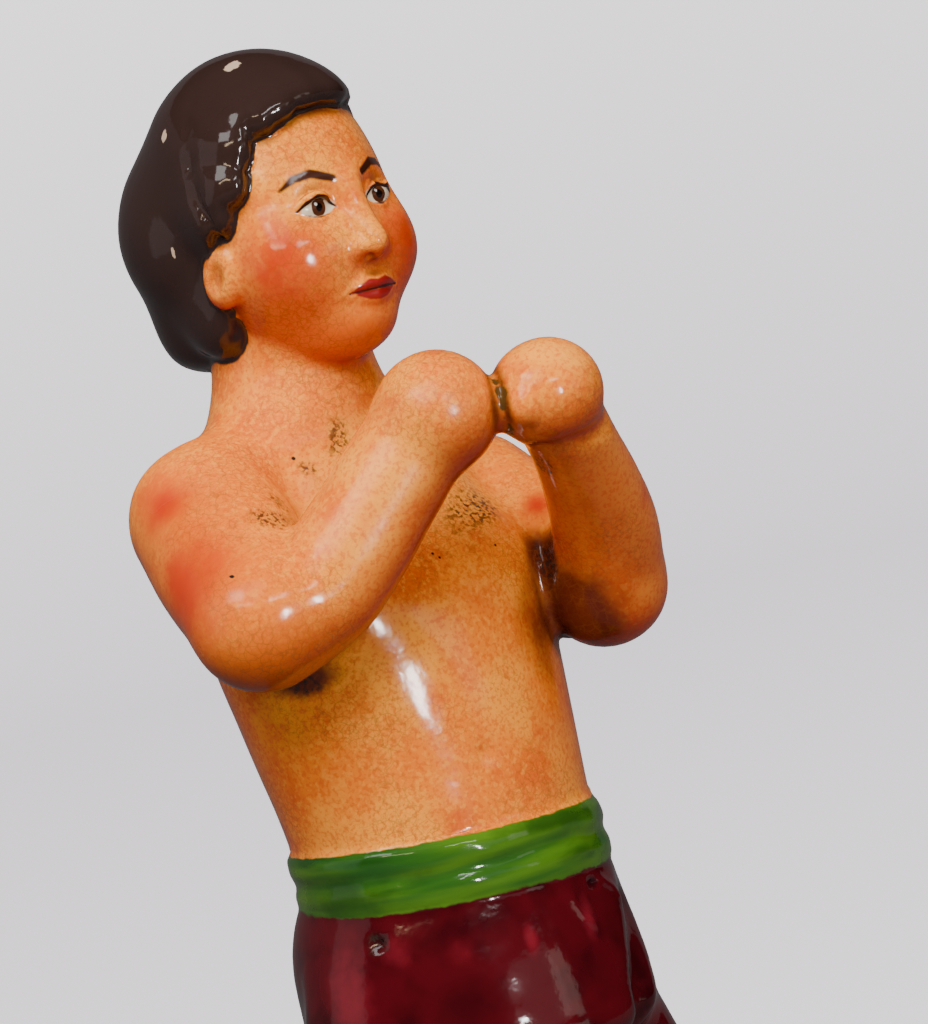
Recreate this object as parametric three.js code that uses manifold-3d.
// A boxer figurine in hand-painted, glazed earthenware, cast in one piece with its low oval base.
// Units are millimetres, +Z is up and the origin is the centre of the base's underside.
// The figure faces -Y, and its left hand is on the +X side.
import * as THREE from "three";
import { mergeVertices } from "three/addons/utils/BufferGeometryUtils.js";
import Module from "manifold-3d";

// Driving dimensions
const BASE = { halfWidth: 37, halfDepth: 28, height: 9, rounding: 1.6 };
const WAISTBAND = { low: 96, high: 102.6, proud: 0.9, tilt: 3.2 };
const HEM_HEIGHT = 59;
const BOOT_TOP = 24;

// Places of the body, as [x, y, z]
const PELVIS = [-2.3, 1.6, 89];
const NECK = { root: [-1.6, 6.8, 141], top: [-1.4, 6.2, 157], rootRadius: 9.4, topRadius: 8.7 };
const HEAD = { centre: [-1.2, 4.6, 170.5], yaw: 6 };
const RIGHT_ARM = {
  shoulder: [-18.2, 4.5, 141.1],
  elbow: [-24.3, -9.6, 131],
  forearm: [-17.9, -13.3, 133],
  wrist: [-8.1, -18.6, 143.8],
  fist: [-5, -21, 147.4],
  radii: { shoulder: 8.4, upperArm: 8.3, elbow: 7.3, forearm: 6.3, wrist: 5.7 },
  fistSize: [6.4, 6.4, 6.4],
};
const LEFT_ARM = {
  shoulder: [17.8, 5.1, 135.2],
  elbow: [18.9, -12.4, 124.3],
  forearm: [16.5, -17.5, 131.4],
  wrist: [10.2, -23.3, 140.2],
  fist: [5.4, -26.5, 146.8],
  radii: { shoulder: 7.7, upperArm: 7.2, elbow: 6.5, forearm: 5.7, wrist: 4.7 },
  fistSize: [6.1, 5.8, 5.7],
};
const STRUT = { from: [0.2, -23.7, 146.9], to: [2.9, -24.7, 146], radius: 2.1 };

// The slopes from the neck to the shoulders: where each starts above the neck's root, what share
// of the way to the shoulder it reaches, how far it ends above that, and its radii
const NECK_SLOPE = { start: 6, reach: 0.8, rightRise: 2, leftRise: 0, radii: [7.4, 6.6] };
const RIGHT_LEG = {
  hip: [-10.2, 1.3, 88],
  knee: [-18, 2.4, 57],
  ankle: [-20, 6.5, 20],
  toe: [-24.5, -7.5, 12.5],
  hipRadius: 10.5,
};
const LEFT_LEG = {
  hip: [7, 1.2, 88],
  knee: [17.6, -1.2, 57],
  ankle: [20, -1, 20],
  toe: [24, -14.5, 12.5],
  hipRadius: 10.3,
};
const PELVIS_SIZE = [17.7, 15.2, 13.4];
const TRUNKS_LEG_TAPER = 0.4;

// Below the hem: a bare leg that starts a share of the way up the thigh, its calf, and a boot
// whose heel stands behind the ankle
const LOWER_LEG = {
  thighShare: 0.3,
  thighRadii: [7.4, 6.5],
  shinRadii: [6, 4.2],
  calf: { share: 0.36, back: 2.2, size: [5.6, 5.8, 10.5] },
  bootRadii: [5.2, 5],
  heel: { back: 2.5, up: 0.6 },
  footRadii: [4.9, 4.5],
};

// Soft folds of the trunks, as two ends of each near its surface, its width and its depth
const FOLDS = [
  { from: [-14, -9.4, 94], to: [-8.5, -13, 82], width: 3.4, depth: 0.7 },
  { from: [-7.8, -13.7, 93.6], to: [-4.8, -13.4, 81], width: 3, depth: 0.6 },
  { from: [-0.8, -15.2, 93.6], to: [-2.4, -13.6, 82], width: 2.6, depth: 0.5 },
  { from: [12.5, -10.5, 93], to: [5, -12, 81], width: 3.2, depth: 0.6 },
  { from: [-19, 8, 92], to: [-20.5, 6, 68], width: 3.6, depth: 0.6 },
  { from: [16.5, 8, 92], to: [20.5, 6, 68], width: 3.6, depth: 0.6 },
  { from: [-9, 15.5, 92], to: [-3, 13.5, 79], width: 3.4, depth: 0.7 },
  { from: [7, 15.5, 92], to: [0, 13.5, 79], width: 3.4, depth: 0.7 },
];

// Sections of the trunk from the pelvis to the neck: height, centre, and half sizes of an oval
const TRUNK = [
  { z: 90, x: -0.2, y: 0.2, halfWidth: 17.8, halfDepth: 15.6 },
  { z: 99, x: -0.2, y: 0.2, halfWidth: 17.0, halfDepth: 14.8 },
  { z: 108, x: -0.5, y: 0.5, halfWidth: 17.6, halfDepth: 15.1 },
  { z: 118, x: -0.9, y: 1.2, halfWidth: 19, halfDepth: 15.4 },
  { z: 128, x: -0.9, y: 2.5, halfWidth: 20.1, halfDepth: 15.2 },
  { z: 136, x: -1.3, y: 4.8, halfWidth: 19.2, halfDepth: 13 },
  { z: 143, x: -1.4, y: 5.6, halfWidth: 14.0, halfDepth: 11.4 },
  { z: 149, x: -1.5, y: 6.4, halfWidth: 8.5, halfDepth: 8.5 },
];

// The right one of the two pectorals is mirrored from the left one, in the chest's own middle
const PECTORAL = { centre: [8.2, -4.4, 128.5], size: [8.6, 6.4, 7.6], turn: [0, 0, 14] };
const CHEST_MIDDLE = -1.2;
const SPINE = { low: [-1, 18.2, 112], high: [-1.4, 19.4, 134], radius: 2.2 };

// The head's forms about its middle, facing -Y. Cheek, socket, nostril and ear come in pairs.
const SKULL = { centre: [0, 0.6, 4.2], size: [12, 13, 12.8] };
const FACE = { centre: [0, -3.8, -3.4], size: [10.8, 10.4, 12.4] };
const CHIN = { centre: [0, -8.6, -12.2], size: [4.8, 4.4, 3.6] };
const CHEEK = { centre: [5.6, -8.2, -5.2], size: [4.8, 4.6, 4.6] };
const SOCKET = { centre: [4.9, -14.8, 0.8], size: [3.1, 2.2, 2.0] };
const NOSE = { top: [0, -13, 1.6], tip: [0, -15.6, -3.6], radii: [1.1, 1.6] };
const NOSTRIL = { centre: [1.5, -14.1, -4.2], size: [1.2, 1.3, 1] };
const LIPS = { centre: [0, -13.6, -8.1], size: [2.6, 1.3, 1.2] };
const EAR = { centre: [11.9, 0.2, -3.8], size: [1.5, 3, 4.3], turn: [8, 0, 0] };
const HAIR = {
  crown: { centre: [0, -0.5, 5.5], size: [12.5, 12.9, 13] },
  back: { centre: [0, 5.4, 0.2], size: [13.2, 12.4, 13] },
  nape: { centre: [0, 8, -8], size: [9.8, 9, 9.2] },
};

// The hairline's height on the head, by the angle in degrees from the brow round to the nape
const HAIRLINE = [
  { angle: 0, z: 10.5 },
  { angle: 28, z: 10 },
  { angle: 44, z: 7 },
  { angle: 54, z: 1 },
  { angle: 66, z: -3.5 },
  { angle: 84, z: -4.5 },
  { angle: 104, z: -10 },
  { angle: 124, z: -14.5 },
  { angle: 180, z: -16 },
];

// Sizes of the fillets where forms run together, and of the rounding on edges
const FILLET = {
  chest: 4,
  neck: 5,
  skull: 4,
  socket: 2,
  nose: 1.2,
  features: 1.4,
  hair: 2,
  elbow: 1.5,
  hands: 1.2,
  shoulder: 1.6,
  trunks: 1.6,
  fold: 1,
  leg: 2.4,
  hem: 0.8,
  waist: 0.8,
};
const ROUNDING = { hair: 1.6, hem: 1.2 };

// Spacing of the grids that the surfaces are drawn on, their reach along X, Y and Z, and how far
// the finer stretch runs below and above the hem
const SPACING = { across: 2.85, legs: 3.8, hem: 1.7, trunk: 3, head: 1.95 };
const HEAD_REACH = { x: [-16, 14], y: [-16, 24], z: [150, 194] };
const BODY_REACH = { x: [-38, 34], y: [-38, 26], z: [4, 166] };
const HEM_STRETCH = { below: 3, above: 2 };
const SETTLING_STEPS = 4;
const STEPS_BETWEEN_STOPS = 4;
const STEPS_ALONG_FOLDS = 4;

const { clamp, lerp, degToRad, radToDeg } = THREE.MathUtils;
const toVector = (place) => new THREE.Vector3(...place);

// The place a share t of the way from one place to another
const between = (from, to, t) => from.map((value, i) => lerp(value, to[i], t));

// A place moved by dx, dy and dz
const moved = (place, dx, dy, dz) => [place[0] + dx, place[1] + dy, place[2] + dz];

// Value of a column of a table, on one smooth curve through the table's rows
function tableValue(rows, key, at, name) {
  const last = rows.length - 1;
  const spot = clamp(at, rows[0][key], rows[last][key]);
  let i = 0;
  while (i < last - 1 && spot > rows[i + 1][key]) i += 1;
  const slope = (j) => {
    const before = rows[Math.max(j - 1, 0)];
    const after = rows[Math.min(j + 1, last)];
    return (after[name] - before[name]) / (after[key] - before[key]);
  };
  const span = rows[i + 1][key] - rows[i][key];
  const t = (spot - rows[i][key]) / span;
  const start = t * (1 - t) * (1 - t) * span * slope(i);
  const end = t * t * (1 - t) * span * slope(i + 1);
  return lerp(rows[i][name], rows[i + 1][name], t * t * (3 - 2 * t)) + start - end;
}

// Fields. Each takes a point and returns about how far it lies outside a form, in millimetres.

// A limb that tapers from one ball to another
function taper(from, to, fromRadius, toRadius) {
  const start = toVector(from);
  const axis = toVector(to).sub(start);
  const offset = new THREE.Vector3();
  return (p) => {
    offset.subVectors(p, start);
    const t = clamp(offset.dot(axis) / axis.lengthSq(), 0, 1);
    return offset.addScaledVector(axis, -t).length() - lerp(fromRadius, toRadius, t);
  };
}

// A limb along one smooth curve through its stops, each a place and a radius
function limb(...stops) {
  const rows = stops.map(([place, radius], t) => {
    const [x, y, z] = place;
    return { t, x, y, z, radius };
  });
  const count = (rows.length - 1) * STEPS_BETWEEN_STOPS;
  const at = (i, name) => tableValue(rows, "t", i / STEPS_BETWEEN_STOPS, name);
  const tapers = Array.from({ length: count }, (_, i) => {
    const ends = [i, i + 1].map((j) => ["x", "y", "z"].map((name) => at(j, name)));
    return taper(...ends, at(i, "radius"), at(i + 1, "radius"));
  });
  return (p) => Math.min(...tapers.map((form) => form(p)));
}

// Distance to an oval or egg of those half sizes, from a point given from its middle
function ovalDistance(point, halfSizes) {
  const reach = point.divide(halfSizes).length();
  const steepness = Math.max(point.divide(halfSizes).length(), 1e-6);
  return (reach * (reach - 1)) / steepness;
}

// An egg with three half sizes, turned by degrees about X, Y and Z
function egg({ centre, size, turn = [0, 0, 0] }) {
  const middle = toVector(centre);
  const halfSizes = toVector(size);
  const unturn = new THREE.Quaternion().setFromEuler(new THREE.Euler(...turn.map(degToRad)));
  unturn.invert();
  const local = new THREE.Vector3();
  return (p) => ovalDistance(local.subVectors(p, middle).applyQuaternion(unturn), halfSizes);
}

// An egg and its mirror image, left and right of a middle
function eggPair({ centre: [x, y, z], size, turn: [a, b, c] = [0, 0, 0] }, middle = 0) {
  return [-1, 1].map((side) =>
    egg({ centre: [middle + side * x, y, z], size, turn: [a, side * b, side * c] }),
  );
}

// A column of oval sections between two heights
function column(sections, low, high) {
  const local = new THREE.Vector2();
  const size = new THREE.Vector2();
  return (p) => {
    const at = (name) => tableValue(sections, "z", p.z, name);
    local.set(p.x - at("x"), p.y - at("y"));
    size.set(at("halfWidth"), at("halfDepth"));
    return Math.max(ovalDistance(local, size), low - p.z, p.z - high);
  };
}

// A groove that follows a form's surface between two places
function fold(form, { from, to, width, depth }) {
  const radius = (width * width) / (8 * depth) + depth / 2;
  const spine = Array.from({ length: STEPS_ALONG_FOLDS + 1 }, (_, i) => {
    const place = settled(form, toVector(between(from, to, i / STEPS_ALONG_FOLDS)));
    const outward = slopeOf(form, place).normalize();
    return place.addScaledVector(outward, radius - depth).toArray();
  });
  const tapers = spine.slice(1).map((end, i) => taper(spine[i], end, radius, radius));
  return (p) => Math.min(...tapers.map((part) => part(p)));
}

// The smaller of two distances, with the corner between them filled over about that size
function smoothMin(a, b, size) {
  const near = Math.max(size - Math.abs(a - b), 0) / size;
  return Math.min(a, b) - (near * near * size) / 4;
}

// Forms run together with fillets of about that size
const blend = (size, ...forms) => (p) =>
  forms.slice(1).reduce((sum, form) => smoothMin(sum, form(p), size), forms[0](p));

// What two forms share, with its edge rounded by about that size
const shared = (size, a, b) => (p) => -smoothMin(-a(p), -b(p), size);

// A form with another pressed out of it
const pressed = (size, form, tool) => (p) => -smoothMin(-form(p), tool(p), size);

// A form that is built about the origin, placed by a matrix
function placed(matrix, form) {
  const inverse = matrix.clone().invert();
  const local = new THREE.Vector3();
  return (p) => form(local.copy(p).applyMatrix4(inverse));
}

// Bare chest, belly and back, with the pectorals and the groove of the spine
function trunk() {
  const barrel = column(TRUNK, WAISTBAND.low, TRUNK[TRUNK.length - 1].z);
  const spine = taper(SPINE.low, SPINE.high, SPINE.radius, SPINE.radius);
  const chest = blend(FILLET.chest, barrel, ...eggPair(PECTORAL, CHEST_MIDDLE));
  return pressed(FILLET.chest, chest, spine);
}

// Upper arm, forearm, wrist and closed hand
function arm({ shoulder, elbow, forearm, wrist, fist, radii, fistSize }) {
  const upperArm = between(shoulder, elbow, 0.5);
  return blend(
    FILLET.elbow,
    limb([shoulder, radii.shoulder], [upperArm, radii.upperArm], [elbow, radii.elbow]),
    limb(
      [elbow, radii.elbow],
      [forearm, radii.forearm],
      [wrist, radii.wrist],
      [fist, radii.wrist],
    ),
    egg({ centre: fist, size: fistSize }),
  );
}

// Neck, and the slopes from it to the shoulders
function neck() {
  const start = moved(NECK.root, 0, 0, NECK_SLOPE.start);
  const slope = (shoulder, rise) => {
    const end = moved(between(NECK.root, shoulder, NECK_SLOPE.reach), 0, 0, rise);
    return taper(start, end, ...NECK_SLOPE.radii);
  };
  return blend(
    FILLET.neck,
    taper(NECK.root, NECK.top, NECK.rootRadius, NECK.topRadius),
    slope(RIGHT_ARM.shoulder, NECK_SLOPE.rightRise),
    slope(LEFT_ARM.shoulder, NECK_SLOPE.leftRise),
  );
}

// The angle of a point on the head, in degrees, from the brow round to the nape
const headAngle = (p) => radToDeg(Math.atan2(Math.abs(p.x), -p.y));

// Skull, face, ears and a smooth cap of short hair, about the middle of the head, facing -Y
function head() {
  const bare = blend(FILLET.skull, ...[SKULL, FACE, CHIN].map(egg), ...eggPair(CHEEK));
  const faced = eggPair(SOCKET).reduce((form, socket) => pressed(FILLET.socket, form, socket), bare);
  const ridge = taper(NOSE.top, NOSE.tip, ...NOSE.radii);
  const nose = blend(FILLET.nose, ridge, ...eggPair(NOSTRIL));
  const features = blend(FILLET.features, faced, nose, egg(LIPS), ...eggPair(EAR));
  const cap = blend(FILLET.hair, ...[HAIR.crown, HAIR.back, HAIR.nape].map(egg));
  const hairline = (p) => tableValue(HAIRLINE, "angle", headAngle(p), "z") - p.z;
  return blend(FILLET.hem, features, shared(ROUNDING.hair, cap, hairline));
}

// Pelvis and both legs of the loose boxing trunks, down to their hems
function trunks() {
  const leg = ({ hip, knee, hipRadius }) => taper(hip, knee, hipRadius, hipRadius - TRUNKS_LEG_TAPER);
  const cloth = blend(
    FILLET.trunks,
    egg({ centre: PELVIS, size: PELVIS_SIZE }),
    column(TRUNK, PELVIS[2], WAISTBAND.high),
    leg(RIGHT_LEG),
    leg(LEFT_LEG),
  );
  const folded = FOLDS.reduce((form, place) => pressed(FILLET.fold, form, fold(cloth, place)), cloth);
  return shared(ROUNDING.hem, folded, (p) => HEM_HEIGHT - p.z);
}

// The waistband, which stands a little proud of the skin and the trunks
function waistband() {
  const wide = TRUNK.map((section) => ({
    ...section,
    halfWidth: section.halfWidth + WAISTBAND.proud,
    halfDepth: section.halfDepth + WAISTBAND.proud,
  }));
  const tilted = new THREE.Matrix4().makeRotationY(degToRad(WAISTBAND.tilt));
  const above = placed(tilted, (p) => WAISTBAND.low - p.z);
  const below = placed(tilted, (p) => p.z - WAISTBAND.high);
  const ring = column(wide, TRUNK[0].z, WAISTBAND.high * 2 - TRUNK[0].z);
  return (p) => Math.max(ring(p), above(p), below(p));
}

// Bare leg with knee and calf, in a plain ankle boot
function lowerLeg({ hip, knee, ankle, toe }) {
  const { thighShare, thighRadii, shinRadii, calf, bootRadii, heel, footRadii } = LOWER_LEG;
  const calfCentre = moved(between(knee, ankle, calf.share), 0, calf.back, 0);
  const heelPlace = [ankle[0], ankle[1] + heel.back, toe[2] + heel.up];
  const bootTop = moved(ankle, 0, 0, BOOT_TOP - ankle[2]);
  return blend(
    FILLET.leg,
    taper(between(knee, hip, thighShare), knee, ...thighRadii),
    taper(knee, ankle, ...shinRadii),
    egg({ centre: calfCentre, size: calf.size }),
    taper(bootTop, ankle, ...bootRadii),
    taper(heelPlace, toe, ...footRadii),
  );
}

// The head in its place on the neck
function placedHead() {
  const place = new THREE.Matrix4().makeRotationZ(degToRad(HEAD.yaw)).setPosition(...HEAD.centre);
  return placed(place, head());
}

// The body from the soles to the neck
function body() {
  const strut = taper(STRUT.from, STRUT.to, STRUT.radius, STRUT.radius);
  const arms = blend(FILLET.hands, arm(RIGHT_ARM), arm(LEFT_ARM), strut);
  const upper = blend(FILLET.shoulder, trunk(), neck(), arms);
  const legs = blend(FILLET.hem, trunks(), lowerLeg(RIGHT_LEG), lowerLeg(LEFT_LEG));
  return blend(FILLET.waist, upper, waistband(), legs);
}

// Grid lines from one coordinate to another, with a spacing that follows the place
function gridLines(from, to, spacingAt) {
  const lines = [from];
  while (lines[lines.length - 1] < to) {
    const at = lines[lines.length - 1];
    lines.push(at + spacingAt(at));
  }
  return lines;
}

// A grid cell's corners, its edges from corner to corner, and the four edges of each of its sides
const CORNERS = [0, 1, 2, 3, 4, 5, 6, 7].map((c) => [c & 1, (c >> 1) & 1, c >> 2]);
const EDGES = CORNERS.flatMap((corner, c) =>
  [0, 1, 2].filter((axis) => corner[axis] === 0).map((axis) => [c, c + (1 << axis)]),
);
const SIDES = [0, 1, 2].flatMap((axis) =>
  [0, 1].map((side) => EDGES.filter((ends) => ends.every((c) => CORNERS[c][axis] === side))),
);

// The edges of a cell that the surface crosses, in groups: one for each sheet of the surface.
// Where a side is crossed four times, each sheet wraps a corner that lies inside.
function sheetsOf(inside) {
  const crossed = ([a, b]) => inside[a] !== inside[b];
  let sheets = EDGES.filter(crossed).map((edge) => [edge]);
  const unite = (...pair) => {
    const touched = sheets.filter((sheet) => pair.some((edge) => sheet.includes(edge)));
    sheets = sheets.filter((sheet) => !touched.includes(sheet)).concat([touched.flat()]);
  };
  SIDES.forEach((side) => {
    const open = side.filter(crossed);
    if (open.length === 2) unite(...open);
    if (open.length < 4) return;
    const insideCorners = [...new Set(open.flat())].filter((c) => inside[c]);
    insideCorners.forEach((c) => unite(...open.filter((edge) => edge.includes(c))));
  });
  return sheets;
}

// The closed surface where a field is zero: one vertex for each sheet in a grid cell, pulled on
// to the surface, and one four-sided face for each grid edge that the surface crosses
function surfaceOf(field, xs, ys, zs) {
  const axes = [xs, ys, zs];
  const strides = [ys.length * zs.length, zs.length, 1];
  const p = new THREE.Vector3();
  const values = new Float32Array(xs.length * strides[0]);
  const indexOf = (cell) => cell.reduce((sum, step, axis) => sum + step * strides[axis], 0);
  xs.forEach((x, i) =>
    ys.forEach((y, j) =>
      zs.forEach((z, k) => {
        values[indexOf([i, j, k])] = field(p.set(x, y, z));
      }),
    ),
  );

  const positions = [];
  const vertexOf = new Map();
  const keyOf = (cellIndex, edge) => cellIndex * EDGES.length + EDGES.indexOf(edge);
  eachCell(axes, (cell) => {
    const places = CORNERS.map((corner) => cell.map((step, axis) => step + corner[axis]));
    const at = places.map((place) => values[indexOf(place)]);
    const inside = at.map((value) => value < 0);
    if (inside.every((value) => value === inside[0])) return;
    const pointOf = (c) => places[c].map((step, axis) => axes[axis][step]);
    sheetsOf(inside).forEach((sheet) => {
      const sum = new THREE.Vector3();
      sheet.forEach((edge) => {
        const [a, b] = edge;
        vertexOf.set(keyOf(indexOf(cell), edge), positions.length / 3);
        sum.add(toVector(between(pointOf(a), pointOf(b), at[a] / (at[a] - at[b]))));
      });
      positions.push(...settled(field, sum.divideScalar(sheet.length)).toArray());
    });
  });

  const indices = [];
  eachCell(axes, (cell) => {
    const here = values[indexOf(cell)];
    strides.forEach((stride, axis) => {
      const [u, v] = [(axis + 1) % 3, (axis + 2) % 3];
      if (cell[u] === 0 || cell[v] === 0) return;
      const there = values[indexOf(cell) + stride];
      if (here < 0 === there < 0) return;
      const vertexBack = (du, dv) => {
        const corner = (du << u) + (dv << v);
        const edge = EDGES.find(([a, b]) => a === corner && b === corner + (1 << axis));
        return vertexOf.get(keyOf(indexOf(cell) - du * strides[u] - dv * strides[v], edge));
      };
      const around = [vertexBack(1, 1), vertexBack(0, 1), vertexBack(0, 0), vertexBack(1, 0)];
      if (here >= 0) around.reverse();
      indices.push(...twoTriangles(around, positions));
    });
  });
  const geometry = new THREE.BufferGeometry();
  geometry.setAttribute("position", new THREE.Float32BufferAttribute(positions, 3));
  return geometry.setIndex(indices);
}

// Calls a function with the lowest corner of each grid cell
function eachCell(axes, act) {
  for (let i = 0; i < axes[0].length - 1; i += 1)
    for (let j = 0; j < axes[1].length - 1; j += 1)
      for (let k = 0; k < axes[2].length - 1; k += 1) act([i, j, k]);
}

// How fast a field grows at a point, along X, Y and Z
function slopeOf(field, point) {
  const reach = 0.05;
  const here = field(point);
  const probe = new THREE.Vector3();
  const slope = new THREE.Vector3();
  ["x", "y", "z"].forEach((axis) => {
    probe.copy(point)[axis] += reach;
    slope[axis] = (field(probe) - here) / reach;
  });
  return slope;
}

// A point moved on to the surface along the field's slope
function settled(field, point) {
  for (let step = 0; step < SETTLING_STEPS; step += 1) {
    const slope = slopeOf(field, point);
    const pull = clamp(field(point) / Math.max(slope.lengthSq(), 0.2), -0.6, 0.6);
    point.addScaledVector(slope, -pull);
  }
  return point;
}

// The two triangles of a four-sided face, cut along its shorter diagonal
function twoTriangles([a, b, c, d], positions) {
  const at = (i) => new THREE.Vector3().fromArray(positions, i * 3);
  const short = at(a).distanceTo(at(c)) < at(b).distanceTo(at(d));
  return short ? [a, b, c, a, c, d] : [a, b, d, b, c, d];
}

// The low oval base, with its upper and lower edges rounded
function baseGeometry() {
  const { halfWidth, halfDepth, height, rounding } = BASE;
  const outline = new THREE.Shape();
  outline.absellipse(0, 0, halfWidth - rounding, halfDepth - rounding, 0, 2 * Math.PI);
  const slab = new THREE.ExtrudeGeometry(outline, {
    depth: height - 2 * rounding,
    bevelThickness: rounding,
    bevelSize: rounding,
    bevelSegments: 3,
    curveSegments: 40,
  });
  return slab.translate(0, 0, rounding);
}

const wasm = await Module();
wasm.setup();

// A closed geometry as a solid that can be joined
function solidOf(geometry) {
  const bare = new THREE.BufferGeometry();
  bare.setAttribute("position", geometry.getAttribute("position"));
  bare.setIndex(geometry.getIndex());
  const merged = mergeVertices(bare, 1e-4);
  const vertProperties = new Float32Array(merged.getAttribute("position").array);
  const triVerts = new Uint32Array(merged.getIndex().array);
  return new wasm.Manifold(new wasm.Mesh({ numProp: 3, vertProperties, triVerts }));
}

// A joined solid as a geometry again
function geometryOf(solid) {
  const mesh = solid.getMesh();
  const geometry = new THREE.BufferGeometry();
  geometry.setAttribute("position", new THREE.BufferAttribute(mesh.vertProperties, 3));
  geometry.setIndex(new THREE.BufferAttribute(mesh.triVerts, 1));
  geometry.computeVertexNormals();
  return geometry;
}

// A field's surface as a solid, from a grid with its reach and its spacing along Z
function solidFrom(field, reach, spacing, spacingUp) {
  const across = [reach.x, reach.y].map((ends) => gridLines(...ends, () => spacing));
  return solidOf(surfaceOf(field, ...across, gridLines(...reach.z, spacingUp)));
}

// The spacing along Z, which is finer at the hem
function bodySpacing(z) {
  const atHem = z > HEM_HEIGHT - HEM_STRETCH.below && z < HEM_HEIGHT + HEM_STRETCH.above;
  if (atHem) return SPACING.hem;
  return z < WAISTBAND.low ? SPACING.legs : SPACING.trunk;
}

const headSolid = solidFrom(placedHead(), HEAD_REACH, SPACING.head, () => SPACING.head);
const bodySolid = solidFrom(body(), BODY_REACH, SPACING.across, bodySpacing);
const figurineSolid = bodySolid.add(headSolid).add(solidOf(baseGeometry()));
const glaze = new THREE.MeshStandardMaterial({ color: "#d0813f", roughness: 0.16, metalness: 0 });
const figurine = new THREE.Mesh(geometryOf(figurineSolid), glaze);
figurine.name = "figurine";

const part = new THREE.Group();
part.add(figurine);

export default part;
